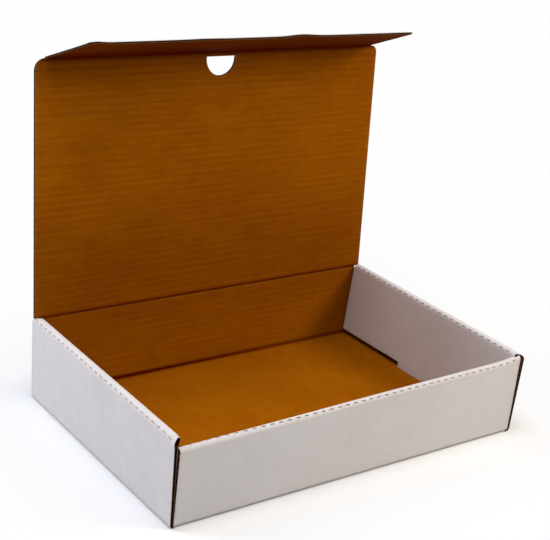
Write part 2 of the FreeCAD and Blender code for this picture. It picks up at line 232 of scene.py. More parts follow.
class Mesh:
    """Collects faces in millimetres, each with its material and its place on the sheet."""

    def __init__(self, cut_depth=CUT_DEPTH):
        self.cut_depth = cut_depth
        self.points, self.sheet, self.faces, self.kinds, self.smooth = [], [], [], [], []
        self.rims, self.bent = [], []
        self.count = 0

    def add(self, points, sheet, faces, kind, smooth, facing, bent=None):
        """faces index points; all are turned to agree with the facing direction.

        bent says how close each point is to the middle of a fold, from 0 to 1.
        """
        faces = np.asarray(faces)
        if (normals(points[faces[:, :3]]) * facing).sum() < 0:
            faces = faces[:, ::-1]
        self.points.append(points)
        self.sheet.append(sheet)
        self.bent.append(np.zeros(len(points)) if bent is None else bent)
        self.faces += (faces + self.count).tolist()
        self.kinds += [kind] * len(faces)
        self.smooth += [smooth] * len(faces)
        self.count += len(points)

    def grid(self, points, sheet, kind, smooth, facing, keep=None, judged=None, bent=None):
        """points: rows x columns x 3. keep marks the cells that are wanted.

        facing has one direction for each of them. Where judged is given, it has one for
        each cell of those rows instead, and the whole grid turns with them.
        """
        m, n = points.shape[:2]
        i, j = np.meshgrid(np.arange(m - 1), np.arange(n - 1), indexing="ij")
        corner = i * n + j
        quads = np.stack([corner, corner + n, corner + n + 1, corner + 1], -1)
        wanted = np.ones((m - 1, n - 1), bool) if keep is None else keep
        if judged is not None:
            sample = quads[judged].reshape(-1, 4)[:, :3]
            if (normals(points.reshape(-1, 3)[sample]) * facing).sum() < 0:
                quads = quads[..., ::-1]
            facing = np.zeros(3)
        self.add(points.reshape(-1, 3), sheet.reshape(-1, 2), quads[wanted], kind, smooth, facing, bent)

    def make(self, name, painted_shade):
        """The Blender object. The last argument, called with the points, gives the painted shade that
        darkens and reddens the kraft, from 0 to 1.
        """
        data = bpy.data.meshes.new(name)
        points = np.concatenate(self.points)
        rubbed = near(distances(points, np.concatenate(self.rims)), EDGE_WEAR)
        wear = np.maximum(np.concatenate(self.bent), rubbed)
        data.from_pydata(frame_place(points).tolist(), [], self.faces)
        data.polygons.foreach_set("material_index", self.kinds)
        data.polygons.foreach_set("use_smooth", self.smooth)
        layer = data.uv_layers.new(name="sheet")
        loops = np.empty(len(data.loops), int)
        data.loops.foreach_get("vertex_index", loops)
        sheet = np.concatenate(self.sheet)[loops] * SHEET_SCALE
        layer.data.foreach_set("uv", sheet.ravel())
        data.attributes.new("wear", "FLOAT", "POINT").data.foreach_set("value", wear)
        # The painted shade for the kraft, from 0 to 1 at each point.
        data.attributes.new("painted_shade", "FLOAT", "POINT").data.foreach_set("value", painted_shade(points))
        data.validate()
        for material in MATERIALS:
            data.materials.append(material)
        obj = bpy.data.objects.new(name, data)
        bpy.context.scene.collection.objects.link(obj)
        return obj


def washboard(across):
    """How far each face sinks between the crests of the flutes: (outer, inner)."""
    wave = np.cos(2 * math.pi * across / FLUTE)
    return RELIEF * (1 - wave) / 2, RELIEF * (1 + wave) / 2


def raw_edge(mesh, at, u, v, inward, flute, style, reach=None):
    """Raw edge of the board along points (u, v), inward pointing into the sheet.

    style "wave" shows the fluted medium between the liners, "line" shows the slit
    between the liners beside a flute, and "cut" is a cut of a perforation. reach is how
    deep the hollows between the liners go.
    """
    across = u if flute == "v" else v
    low, sunk = washboard(across)
    high = BOARD - sunk
    outside = at(u - inward[0], v - inward[1], np.full(len(u), BOARD / 2))
    middle = at(u, v, np.full(len(u), BOARD / 2))
    facing = (outside - middle)[:-1]

    def ribbon(profile, kind, judged=slice(0, 1)):
        """A strip along the edge through (distance inward, depth) pairs."""
        rows = [at(u + inward[0] * step, v + inward[1] * step, depth) for step, depth in profile]
        sheet = np.stack([np.stack([u, v + 0.4 * k], -1) for k in range(len(rows))])
        mesh.grid(np.stack(rows), sheet, kind, False, facing, judged=judged)

    mesh.rims += [at(u, v, low), at(u, v, high)]
    if style == "cut":
        # The cut's walls and its closed bottom get CUT_FACE, whose pale grey is painted light.
        ribbon([(0, low), (0, high)], CUT_FACE)
        if np.ptp(u) + np.ptp(v) > CUT / 2:
            # A long side: the crushed flute closes the cut below the outer liner.
            closed = low + mesh.cut_depth
            ribbon([(0, closed), (-CUT_WIDTH / 2, closed)], CUT_FACE)
        return
    reach = reach or (WAVE_REACH if style == "wave" else LINE_REACH)
    ribbon([(0, low), (0, low + LINER)], WHITE)
    ribbon([(0, high - LINER), (0, high)], CORE)
    hollow = [(0, low + LINER), (reach, low + LINER), (reach, high - LINER), (0, high - LINER)]
    ribbon(hollow, HOLLOW, slice(1, 2))
    if style == "wave":
        swing = BOARD / 2 - LINER - MEDIUM / 2 - RELIEF / 2
        centre = BOARD / 2 - swing * np.cos(2 * math.pi * across / FLUTE)
        above, below = centre - MEDIUM / 2, centre + MEDIUM / 2
        ribbon([(reach, above), (0, above), (0, below), (reach, below)], CORE, slice(1, 2))


def board(mesh, at, u, v, flute, keep=None, joined=(), shift=(0.0, 0.0), folds=(), reach=None,
          inner=KRAFT):
    """A gridded panel: both faces, and a raw edge wherever the board ends.

    at(u, v, depth) gives places in millimetres, depth counting from the outer face.
    flute says whether the flutes run along "u" or "v". keep marks the cells that hold
    board, and joined names the sides, of "u0", "u1", "v0" and "v1", that carry on into
    another piece. folds lists the folds' places in u, and shift is the panel's place on
    the flat sheet, along the flutes and across them.
    """
    keep = np.ones((len(u) - 1, len(v) - 1), bool) if keep is None else keep
    every_u, every_v = (a.ravel() for a in np.meshgrid(u, v, indexing="ij"))
    along, across = (every_u, every_v) if flute == "u" else (every_v, every_u)
    top, bottom = washboard(across)
    shape = (len(u), len(v), 3)
    outer_face = at(every_u, every_v, top).reshape(shape)
    inner_face = at(every_u, every_v, BOARD - bottom).reshape(shape)
    sheet = np.stack([along + shift[0], across + shift[1]], -1).reshape(len(u), len(v), 2)
    towards = (outer_face - inner_face)[:-1, :-1][keep]
    bent = sum((near(every_u - fold, FOLD_WEAR) for fold in folds), np.zeros(len(every_u)))
    mesh.grid(outer_face, sheet, WHITE, True, towards, keep, bent=bent)
    mesh.grid(inner_face, sheet, inner, True, -towards, keep, bent=bent)
    for line, other, name, cells in ((u, v, "u", keep), (v, u, "v", keep.T)):
        empty = np.zeros(len(other) - 1, bool)
        for i in range(len(line)):
            first_line, last_line = i == 0, i == len(line) - 1
            if (first_line and name + "0" in joined) or (last_line and name + "1" in joined):
                continue
            before = empty if first_line else cells[i - 1]
            after = empty if last_line else cells[i]
            for sign, flags in ((1, after & ~before), (-1, before & ~after)):
                for first, last in stretches(flags):
                    run = other[first:last + 1]
                    here = np.full(len(run), line[i])
                    is_cut = run[-1] - run[0] < LONGEST_CUT
                    style = "cut" if is_cut else ("wave" if name == flute else "line")
                    if name == "u":
                        raw_edge(mesh, at, here, run, (sign, 0), flute, style, reach)
                    else:
                        raw_edge(mesh, at, run, here, (0, sign), flute, style, reach)


class Fold:
    """Section of board bent about parallel folds.

    corners(v) gives, for places v along the folds, the points (outward, up) where the
    outer faces of neighbouring runs would meet. u is the length along the outer face,
    measured where v is middle.
    """

    def __init__(self, corners, middle, radius=FOLD):
        self.corners, self.radius = corners, radius
        start, end, _, turn = self.parts(np.array([middle]))
        lengths = np.empty(2 * start.shape[1] - 1)
        lengths[0::2] = np.linalg.norm(end[0] - start[0], axis=-1)
        lengths[1::2] = radius * turn[0]
        self.lengths = np.maximum(lengths, 1e-6)
        self.breaks = np.concatenate([[0.0], np.cumsum(self.lengths)])

    def parts(self, v):
        """Each straight run's start, end and direction, and the angle of each fold."""
        points = self.corners(v)
        way = unit(points[:, 1:] - points[:, :-1])
        cross = way[:, :-1, 0] * way[:, 1:, 1] - way[:, :-1, 1] * way[:, 1:, 0]
        dot = (way[:, :-1] * way[:, 1:]).sum(-1)
        turn = np.arctan2(cross, dot)
        cut = (self.radius * np.tan(turn / 2))[..., None]
        start, end = points[:, :-1].copy(), points[:, 1:].copy()
        start[:, 1:] += way[:, 1:] * cut
        end[:, :-1] -= way[:, :-1] * cut
        return start, end, way, turn

    def section(self, u, v, depth):
        """(outward, up) of the points at length u and depth in the section at v."""
        start, end, way, turn = self.parts(v)
        piece = np.clip(np.searchsorted(self.breaks, u, side="right") - 1, 0, len(self.lengths) - 1)
        share = (u - self.breaks[piece]) / self.lengths[piece]
        rows, run, bent = np.arange(len(u)), piece // 2, piece % 2 == 1
        normal = np.stack([way[..., 1], -way[..., 0]], -1)[rows, run]
        a, b = start[rows, run], end[rows, run]
        straight = a + (b - a) * share[:, None]
        angle = np.where(bent, turn[rows, np.minimum(run, turn.shape[1] - 1)] * share, 0.0)
        c, s = np.cos(angle), np.sin(angle)
        turned = np.stack([normal[:, 0] * c - normal[:, 1] * s,
                           normal[:, 0] * s + normal[:, 1] * c], -1)
        curved = b - normal * self.radius + turned * self.radius
        outer = np.where(bent[:, None], curved, straight)
        return outer - turned * depth[:, None]

    def rows(self, straight, also=(), cut=()):
        """Places along the section: straight runs at a pitch, folds finely divided.

        cut lists the folds that have cuts through them; their borders are put in.
        """
        places = list(also)
        for k in range(1, len(self.lengths), 2):
            places += list(np.linspace(self.breaks[k], self.breaks[k + 1], FOLD_POINTS))
            if k // 2 in cut:
                places += list(self.cut_borders(k // 2))
        return steps(0.0, self.breaks[-1], straight, places)

    def middles(self):
        """The folds' middles, as lengths along the section."""
        return (self.breaks[1:-1:2] + self.breaks[2::2]) / 2

    def cut_borders(self, fold):
        """Where the cuts along a fold start and end across it."""
        middle = self.middles()[fold]
        return middle - CUT_WIDTH / 2, middle + CUT_WIDTH / 2


def corner_points(v, *pairs):
    """A Fold's corners at v, from (outward, up) pairs that are numbers or values along v."""
    return np.stack([np.stack([0 * v + x, 0 * v + y], -1) for x, y in pairs], 1)


def cells_outside(boxes, u, v):
    """Which cells' middles lie outside all of the boxes (u0, u1, v0, v1)."""
    mu, mv = (u[1:] + u[:-1]) / 2, (v[1:] + v[:-1]) / 2
    keep = np.ones((len(mu), len(mv)), bool)
    for u0, u1, v0, v1 in boxes:
        keep[np.ix_((mu > u0) & (mu < u1), (mv > v0) & (mv < v1))] = False
    return keep


def row_of_cuts(first, count):
    """Where the cuts along a crease start and end, from the middle of the first one."""
    return [(first + PITCH * k - CUT / 2, first + PITCH * k + CUT / 2) for k in range(count)]


# ------------ the tray
def side_top(v):
    """Height of the side walls' outer crease."""
    return SIDE_FRONT + (SIDE_BACK - SIDE_FRONT) * v / DEPTH


def side_wall(side):
    """Outer ply, top strip and inner ply with its lock tab, rolled from one run of board."""
    lean, strip, rise = LEAN[side], SIDE_STRIP[side], STRIP_RISE[side]

    def corners(v):
        top = side_top(v)
        return corner_points(v, (-FLAT, 0), (0, 0), (lean, top), (lean - strip, top + rise),
                             (-PLY_FOOT_IN, TAB_END))

    fold = Fold(corners, DEPTH / 2)
    outer_cuts = row_of_cuts(DEPTH + OUTER_LAST - PITCH * (OUTER_CUTS - 1), OUTER_CUTS)
    inner_cuts = row_of_cuts(DEPTH + INNER_LAST - PITCH * (INNER_CUTS - 1), INNER_CUTS)
    tab = (DEPTH / 2 - SIDE_TAB / 2, DEPTH / 2 + SIDE_TAB / 2)
    foot = fold.breaks[-1] - (PLY_FOOT - TAB_END)
    u = fold.rows(LONG_STEP, also=[foot, foot - 3], cut=(1, 2))
    places = [x for pair in outer_cuts + inner_cuts for x in pair]
    v = steps(0.0, DEPTH, FLUTE_STEP, places + list(tab))
    boxes = [(*fold.cut_borders(1), *cut) for cut in outer_cuts]
    boxes += [(*fold.cut_borders(2), *cut) for cut in inner_cuts]
    boxes += [(foot, PAST_END, 0, tab[0]), (foot, PAST_END, tab[1], DEPTH)]
    keep = cells_outside(boxes, u, v)
    outer_fold, inner_fold, ply = fold.breaks[3], fold.breaks[5], fold.breaks[6]
    outer_crease, inner_crease = fold.middles()[1:3]

    def at(u, v, depth):
        # The strip's ends are cut slantwise, from the outer crease back to the inner one.
        # The inner ply is shorter still, and its front end is pressed thin.
        slant = begun(u - outer_fold, inner_fold - outer_fold)
        start = STRIP_START[side] * slant + (PLY_START - STRIP_START[side]) * begun(u - ply, 1.5)
        finish = PLY_FINISH * slant
        at_front, at_back = 1 - begun(v, END_ZONE), 1 - begun(DEPTH - v, END_ZONE)
        place = v + start * at_front - finish * at_back
        pressed = END_CRUSH * near(v, CRUSH_REACH) * begun(u - outer_fold, 2.0)
        flat = fold.section(u, place, depth * (1 - pressed / BOARD))
        sunk = near(u - outer_crease, DROOP_WIDTH) + 0.25 * near(u - inner_crease, DROOP_WIDTH)
        flat[:, 1] -= END_DROOP[side] * sunk * near(v, DROOP_REACH)
        x = -flat[:, 0] if side < 0 else WIDTH + flat[:, 0]
        return np.stack([x, place, flat[:, 1]], -1)

    mesh = Mesh(CUT_DEPTH_SIDE[side])
    board(mesh, at, u, v, "u", keep, joined=("u0",), shift=(APART * side, 0.0), folds=fold.middles())
    obj = mesh.make("side_wall_left" if side < 0 else "side_wall_right", painted_shade_inside)
    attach(obj, "tray")
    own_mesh(obj)
    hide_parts("tray")


def front_top(v):
    """Height of the front wall's crease: it rises to the right and is pushed up at its ends."""
    share = begun(v / WIDTH - STEP_START, STEP_LENGTH)
    rise = STEP_RISE * share * share * (3 - 2 * share) + SLOW_RISE * (v / WIDTH) ** 2
    ends = LEFT_LIFT * np.exp(-v / LEFT_REACH) + RIGHT_LIFT * np.exp((v - WIDTH) / RIGHT_REACH)
    return FRONT_TOP + rise + ends


def front_wall():
    """Front outer ply, twisted top strip and inner ply with two lock tabs."""
    def corners(v):
        top = front_top(v)
        slope = np.radians(TWIST[0] + (TWIST[1] - TWIST[0]) * v / WIDTH)
        back, drop = FRONT_STRIP * np.cos(slope), FRONT_STRIP * np.sin(slope)
        return corner_points(v, (-FLAT, 0), (0, 0), (-FRONT_LEAN, top),
                             (-FRONT_LEAN - back, top - drop), (-FRONT_LEAN - FRONT_STRIP, TAB_END))

    fold = Fold(corners, WIDTH / 2)
    cuts = row_of_cuts(FIRST_FRONT_CUT, FRONT_CUTS)
    tabs = [(centre - FRONT_TAB / 2, centre + FRONT_TAB / 2) for centre in FRONT_TAB_CENTRES]
    foot = fold.breaks[-1] - (PLY_FOOT - TAB_END)
    flap_low, flap_high = fold.breaks[2] + FLAP_MARGIN, fold.breaks[3] - FLAP_MARGIN
    roll = 2 * WALL_END      # the inner ply starts this far in, inside the side walls
    u = fold.rows(FLUTE_STEP, also=[foot], cut=(1, 2))
    places = [x for pair in cuts + tabs for x in pair]
    v = steps(*FRONT_ENDS, SHORT_STEP, places + [roll, WIDTH - roll])
    ply = fold.breaks[4]
    boxes = [(*fold.cut_borders(k), *cut) for k in (1, 2) for cut in cuts]
    boxes += [(ply, PAST_END, 0, roll), (ply, PAST_END, WIDTH - roll, WIDTH)]
    spans = [(0, tabs[0][0]), (tabs[0][1], tabs[1][0]), (tabs[1][1], WIDTH)]
    boxes += [(foot, PAST_END, *span) for span in spans]
    keep = cells_outside(boxes, u, v)
    outer_crease = fold.middles()[1]

    def at(u, v, depth):
        # At the left the outer cuts lie on the back of the fold, at the right on its middle.
        slide = CUT_SLIDE / (1 + (v / SLIDE_REACH) ** 3) * near(u - outer_crease, SLIDE_WIDTH)
        flat = fold.section(u + slide, v, depth)
        return np.stack([v + FRONT_SKEW * flat[:, 1] / SIDE_FRONT, -flat[:, 0], flat[:, 1]], -1)

    mesh = Mesh()
    board(mesh, at, u, v, "v", keep, joined=("u0",), shift=(0.0, APART), folds=fold.middles())
    for side in (-1, 1):
        corner_flap(mesh, side, "front", flap_low, flap_high, fold)
    obj = mesh.make("front_wall", painted_shade_inside)
    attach(obj, "tray")
    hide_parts("tray")


def corner_flap(mesh, side, wall, low, high, fold):
    """The flap that turns back from a wall's end, between the plies of a side wall.

    At the front it starts one board behind the wall's cut end. low and high are its
    borders in the wall's section, which fold gives.
    """
    front = wall == "front"
    overlap = 0.05
    start = BOARD - overlap if front else 0.0
    flap = Fold(lambda v: corner_points(v, (0, start), (FOLD, start), (FOLD, CORNER_FLAP)), 0.0)
    u = flap.rows(CORNER_STEP, also=[flap.breaks[2]])
    v = steps(low, high, FLUTE_STEP)

    def at(u, v, depth):
        flat = flap.section(u, v, depth)
        base = fold.section(v, np.full(len(v), WIDTH / 2), np.zeros(len(v)))
        x = WALL_END + FOLD - flat[:, 0]
        x = x if side < 0 else WIDTH - x
        # It starts where its wall's end is and then follows the lean of the side wall.
        height = base[:, 1] / SIDE_FRONT
        skew = FRONT_SKEW * height if front else 0.0
        turned = begun(flat[:, 1] - start - FOLD, 6.0)
        x = x + skew + (side * LEAN[side] * height - skew) * turned
        y = -base[:, 0] + flat[:, 1] if front else DEPTH + base[:, 0] - flat[:, 1]
        return np.stack([x, y, base[:, 1]], -1)

    shift = (700.0 * side, APART if front else -APART)
    board(mesh, at, u, v, "u", joined=("u0",), shift=shift, folds=flap.middles())


def floor_panel():
    """The floor, with slots for the lock tabs of the side walls and the front wall."""
    aslant = 0.3         # the side plies come down aslant, so their slots are this much wider
    side_slot = (PLY_FOOT_IN - BOARD - TAB_PLAY - aslant, PLY_FOOT_IN + TAB_PLAY)
    front_ply = FRONT_LEAN + FRONT_STRIP
    front_slot = (front_ply - BOARD - TAB_PLAY, front_ply + TAB_PLAY)
    half_side, half_front = SIDE_TAB / 2 + TAB_PLAY, FRONT_TAB / 2 + TAB_PLAY
    along_side = (DEPTH / 2 - half_side, DEPTH / 2 + half_side)
    boxes = [(*side_slot, *along_side), (WIDTH - side_slot[1], WIDTH - side_slot[0], *along_side)]
    boxes += [(centre - half_front, centre + half_front, *front_slot) for centre in FRONT_TAB_CENTRES]
    u = steps(FLAT, WIDTH - FLAT, PANEL_STEP, [x for box in boxes for x in box[:2]])
    v = steps(FLAT, DEPTH - FLAT, FLUTE_STEP, [y for box in boxes for y in box[2:]])
    keep = cells_outside(boxes, u, v)

    def at(u, v, depth):
        return np.stack([u, v, depth], -1)

    mesh = Mesh()
    board(mesh, at, u, v, "u", keep, joined=("u0", "u1", "v0", "v1"), reach=FLOOR_REACH,
          inner=KRAFT_FAINT_FLUTE_SHADE)
    obj = mesh.make("floor_panel", painted_shade_at_back)
    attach(obj, "tray")
    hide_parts("tray")


def back_wall():
    """The back wall, up to where the board bends at the hinge, and its two corner flaps."""
    corners = ((-FLAT, 0), (0, 0), (BACK_OUT, HINGE_Z - CREASE))
    fold = Fold(lambda v: corner_points(v, *corners), WIDTH / 2)
    corner = WALL_END + FOLD
    flap_low, flap_high = fold.breaks[2] + FLAP_MARGIN, fold.breaks[3] - BACK_FLAP_MARGIN
    u = fold.rows(FLUTE_STEP, also=[flap_low, flap_high])
    v = steps(FLAT, WIDTH - FLAT, LONG_STEP, [corner, WIDTH - corner])
    boxes = [(flap_low, flap_high, 0, corner), (flap_low, flap_high, WIDTH - corner, WIDTH)]
    keep = cells_outside(boxes, u, v)

    def at(u, v, depth):
        flat = fold.section(u, v, depth)
        return np.stack([v, DEPTH + flat[:, 0], flat[:, 1]], -1)

    mesh = Mesh()
    board(mesh, at, u, v, "v", keep, joined=("u0", "u1"), shift=(0.0, -APART), folds=fold.middles())
    for side in (-1, 1):
        corner_flap(mesh, side, "back", flap_low, flap_high, fold)
    obj = mesh.make("back_wall", painted_shade_at_back)
    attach(obj, "tray")
    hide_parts("tray")


# ------------ the kraft's painted shade
def painted_shade_inside(points):
    """Painted shade: the kraft faces between the plies are dark all over."""
    return np.ones(len(points))


def painted_shade_at_back(points):
    """Painted shade on the kraft: darker about the hinge, along its crease and in the corner at the
    floor's back.
    """
    x, y, z = points.T
    above = z - HINGE_Z
    corner = np.hypot(y - BACK_FACE, z - BOARD)
    # Painted shade: a broad band about the hinge above the floor, a line in its crease, and a line in
    # the floor's back corner with a softer spread, stronger towards the left.
    painted_shade_amount = 0.36 * near(above - 28.0, 70.0) * (z > 4 * BOARD)
    painted_shade_amount += 0.55 * near(above - 1.4, 1.5)
    painted_shade_amount += (0.95 - 0.3 * x / WIDTH) * near(corner, 2.6)
    painted_shade_amount += 0.35 * (1 - x / WIDTH) * fading(corner, 9.0)
    return np.clip(painted_shade_amount, 0, 1)


def painted_shade_at_top(points):
    """Painted shade on the kraft under the tuck flap: darkest at the fold, paler down the lid and out
    along the flap.
    """
    along_lid = (points - LID_TOP) @ LID_UP
    along_flap = (points - LID_TOP) @ FLAP_UP
    flap = 0.65 + 0.35 * fading(along_flap, 28.0)
    on_the_lid = 0.45 * fading(along_lid, 24.0) + 0.5 * near(along_lid, 2.5) + painted_shade_at_back(points)
    return np.clip(np.where(along_flap > 0.6, flap, on_the_lid), 0, 1)


# ------------ the lid
def on_lid(u, v, depth):
    """u along the hinge, v up the lid."""
    return LID_BASE + np.outer(u, ACROSS) + np.outer(v, LID_UP) + np.outer(BOARD - depth, LID_OUT)


def crushed(to_edge, depth, share=1.0):
    """Press the outer face in towards a cut edge."""
    pressed = FLAP_CRUSH * share * near(np.clip(to_edge, 0, None), FLAP_CRUSH_REACH)
    return pressed + depth * (1 - pressed / BOARD)


def on_flap(u, v, depth):
    """u along the lid's fold, v out along the tuck flap."""
    ends = np.minimum(u - FLAP_IN, WIDTH - FLAP_IN - u) - FLAP_TAPER * v / FLAP
    depth = crushed(np.minimum(FLAP - v, ends), depth)
    # The free edge is wavy: it bulges right of the thumb hole and its left corner curls.
    bulge = sum(height * near(u - place * WIDTH, width) for place, width, height in FLAP_WAVES)
    depth = depth - bulge * begun(v - FLAP + FLAP_WAVE_START, FLAP_WAVE_START) ** 2
    return LID_TOP + np.outer(u, ACROSS) + np.outer(v, FLAP_UP) + np.outer(BOARD - depth, FLAP_OUT)


def hinge():
    """The scored crease between the back wall and the lid."""
    upper = LID_BASE + CREASE * LID_UP + BOARD * LID_OUT
    corners = ((BACK_OUT, HINGE_Z - CREASE), (BACK_OUT, HINGE_Z), (upper[1] - DEPTH, upper[2]))
    fold = Fold(lambda v: corner_points(v, *corners), 0.0, CREASE_RADIUS)
    length = fold.breaks[-1]
    u = steps(0.0, length, CREASE_STEP)
    v = steps(FLAT, WIDTH - FLAT, LONG_STEP)

    def at(u, v, depth):
        pressed = SCORE_DEPTH * near(u - length / 2, SCORE_WIDTH) * begun(depth, BOARD)
        flat = fold.section(u, v, depth - pressed)
        return np.stack([v, DEPTH + flat[:, 0], flat[:, 1]], -1)

    mesh = Mesh()
    board(mesh, at, u, v, "v", joined=("u0", "u1"), folds=[length / 2])
    obj = mesh.make("hinge_crease", painted_shade_at_back)
    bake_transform(obj)
    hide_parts("tray", "lid")


def arc(cx, cy, radius, start, end, count):
    """Points on an arc, with its start and end given in degrees."""
    angles = np.radians(np.linspace(start, end, count + 1))
    return [(cx + radius * math.cos(a), cy + radius * math.sin(a)) for a in angles]


def densify(points, pitch):
    """The closed loop through the points, with no step longer than the pitch."""
    out = []
    for (x0, y0), (x1, y1) in zip(points, points[1:] + points[:1]):
        count = max(1, math.ceil(math.hypot(x1 - x0, y1 - y0) / pitch))
        out += [(x0 + (x1 - x0) * k / count, y0 + (y1 - y0) * k / count) for k in range(count)]
    return out


def inside(points, ring):
    """Which points lie inside the closed ring."""
    x, y = points[:, 0:1], points[:, 1:2]
    following = np.roll(ring, -1, 0)
    fall = following[:, 1] - ring[:, 1]
    crosses = (ring[:, 1] > y) != (following[:, 1] > y)
    slope = (following[:, 0] - ring[:, 0]) / np.where(fall == 0, 1e-9, fall)
    hits = crosses & (x < ring[:, 0] + slope * (y - ring[:, 1]))
    return hits.sum(1) % 2 == 1


def filled(ring):
    """(points, triangles) that fill the closed ring, fine across the flutes."""
    low, high = ring.min(0), ring.max(0)
    rows = np.arange(low[1] + 0.4, high[1] - 0.2, FLUTE_STEP)
    columns = np.arange(low[0] + 4, high[0] - 3, PANEL_STEP)
    grid = np.stack([a.ravel() for a in np.meshgrid(columns, rows, indexing="ij")], -1)
    grid = grid[inside(grid, ring)]
    grid = grid[distances(grid, ring) > 0.5]
    edges = [(k, (k + 1) % len(ring)) for k in range(len(ring))]
    points = [Vector(p) for p in (*ring, *grid)]
    points, _, triangles, _, _, _ = delaunay_2d_cdt(points, edges, [], 1, 1e-5)
    points, triangles = np.array([tuple(p) for p in points]), np.array(triangles)
    return points, triangles[inside(points[triangles].mean(1), ring)]


def shaped_board(mesh, at, outline, joined, shift):
    """A panel of any outline, its flutes along u, with raw edges round it.

    joined(u, v) says where an edge carries on into another piece, and shift is the
    panel's place across the flutes on the flat sheet.
    """
    ring = np.array(densify(outline, OUTLINE_STEP))
    flat, triangles = filled(ring)
    top, bottom = washboard(flat[:, 1])
    outer = at(flat[:, 0], flat[:, 1], top)
    inner = at(flat[:, 0], flat[:, 1], BOARD - bottom)
    towards = (outer - inner)[triangles[:, 0]]
    turned = (normals(outer[triangles]) * towards).sum(1) < 0
    triangles[turned] = triangles[turned][:, ::-1]
    sheet = flat + np.array([0.0, shift])
    mesh.add(outer, sheet, triangles, WHITE, True, towards)
    mesh.add(inner, sheet, triangles[:, ::-1], KRAFT, True, -towards)

    following = np.roll(ring, -1, 0)
    tangent = unit(following - ring)
    area = (ring[:, 0] * following[:, 1] - following[:, 0] * ring[:, 1]).sum()
    inward = np.sign(area) * np.stack([-tangent[:, 1], tangent[:, 0]], -1)
    middle = (ring + following) / 2
    styles = np.where(np.abs(tangent[:, 0]) > 0.9, "line", "wave")
    styles[joined(middle[:, 0], middle[:, 1])] = "none"
    starts = [k for k in range(len(ring)) if styles[k] != styles[k - 1]]
    for a, b in zip(starts, starts[1:] + [starts[0] + len(ring)]):
        members = np.arange(a, b + 1) % len(ring)
        u, v = ring[members].T
        way_in = np.sign(inward[members[:-1]].mean(0))
        if styles[a] == "line":
            raw_edge(mesh, at, u, v, (0.0, way_in[1]), "u", "line", LID_LINE_REACH)
        elif styles[a] == "wave":
            raw_edge(mesh, at, u, v, (way_in[0], 0.0), "u", "wave", LID_WAVE_REACH)


def lid():
    """The lid, with the lower part of the thumb hole let into its top edge."""
    left, right, top = -LID_OVER, WIDTH + LID_OVER, LID - TOP_CREASE
    left_round, right_round = LID_CORNER[-1], LID_CORNER[1]
    hole = LID - THUMB_DROP - THUMB_D + THUMB_W / 2     # the height of its arc's middle
    outline = [(left, LID_FOOT), (FLAT, LID_FOOT), (FLAT, CREASE)]
    outline += [(WIDTH - FLAT, CREASE), (WIDTH - FLAT, LID_FOOT), (right, LID_FOOT)]
    outline += arc(right - right_round, LID - right_round, right_round, 0, 82, 14)
    outline += [(WIDTH - FLAP_IN, LID - SHOULDER), (WIDTH - FLAP_IN, top), (THUMB_RIGHT, top)]
    outline += arc(WIDTH / 2, hole, THUMB_W / 2, 0, -180, 40)
    outline += [(THUMB_LEFT, top), (FLAP_IN, top), (FLAP_IN, LID - SHOULDER)]
    outline += arc(left + left_round, LID - left_round, left_round, 98, 180, 14)

    def joined(u, v):
        at_top = (np.abs(v - top) < 1e-3) & (u > FLAP_IN) & (u < WIDTH - FLAP_IN)
        at_foot = (np.abs(v - CREASE) < 1e-3) & (u > FLAT) & (u < WIDTH - FLAT)
        return at_top | at_foot

    mesh = Mesh()
    shaped_board(mesh, on_lid, outline, joined, -500.0)
    obj = mesh.make("lid_panel", painted_shade_at_top)
    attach(obj, "lid")
    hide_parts("lid")


def top_crease():
    """The bend between the lid and the tuck flap, with the top of the thumb hole in it."""
    start = LID_BASE + (LID - TOP_CREASE) * LID_UP + BOARD * LID_OUT
    along = BOARD * math.tan(FLAP_BEND / 2)
    corner = LID_TOP + BOARD * LID_OUT + along * LID_UP
    end = LID_TOP + TOP_CREASE * FLAP_UP + BOARD * FLAP_OUT
    fold = Fold(lambda v: corner_points(v, start[1:], corner[1:], end[1:]), 0.0, TOP_RADIUS)
    bend_start, bend_end = fold.breaks[1:3]
    hole_edge = TOP_CREASE - THUMB_DROP
    bend = np.linspace(bend_start, bend_end, 10)
    u = steps(0.0, fold.breaks[-1], TOP_CREASE_STEP, [hole_edge, *bend])
    v = steps(FLAP_IN, WIDTH - FLAP_IN, PANEL_STEP, [THUMB_LEFT, THUMB_RIGHT])
    keep = cells_outside([(-1, hole_edge, THUMB_LEFT, THUMB_RIGHT)], u, v)

    def at(u, v, depth):
        share = begun(u - bend_start, bend_end - bend_start)
        to_end = np.minimum(v - FLAP_IN, WIDTH - FLAP_IN - v)
        flat = fold.section(u, v, crushed(to_end, depth, share))
        return np.stack([v, flat[:, 0], flat[:, 1]], -1)

    mesh = Mesh()
    board(mesh, at, u, v, "v", keep, joined=("u0", "u1"))
    obj = mesh.make("flap_crease", painted_shade_at_top)
    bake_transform(obj)
    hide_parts("lid", "tuck_flap")


def tuck_flap():
    """The tuck flap beyond its fold, narrowing a little to rounded corners."""
    left, right = FLAP_IN, WIDTH - FLAP_IN
    across = FLAP_TAPER + FLAP_CORNER
    outline = [(left, TOP_CREASE), (right, TOP_CREASE)]
    outline += arc(right - across, FLAP - FLAP_CORNER, FLAP_CORNER, 4, 90, 12)
    outline += arc(left + across, FLAP - FLAP_CORNER, FLAP_CORNER, 90, 176, 12)

    def joined(u, v):
        return np.abs(v - TOP_CREASE) < 1e-3

    mesh = Mesh()
    shaped_board(mesh, on_flap, outline, joined, -800.0)
    obj = mesh.make("tuck_flap_panel", painted_shade_at_top)
    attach(obj, "tuck_flap")
    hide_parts("tuck_flap")


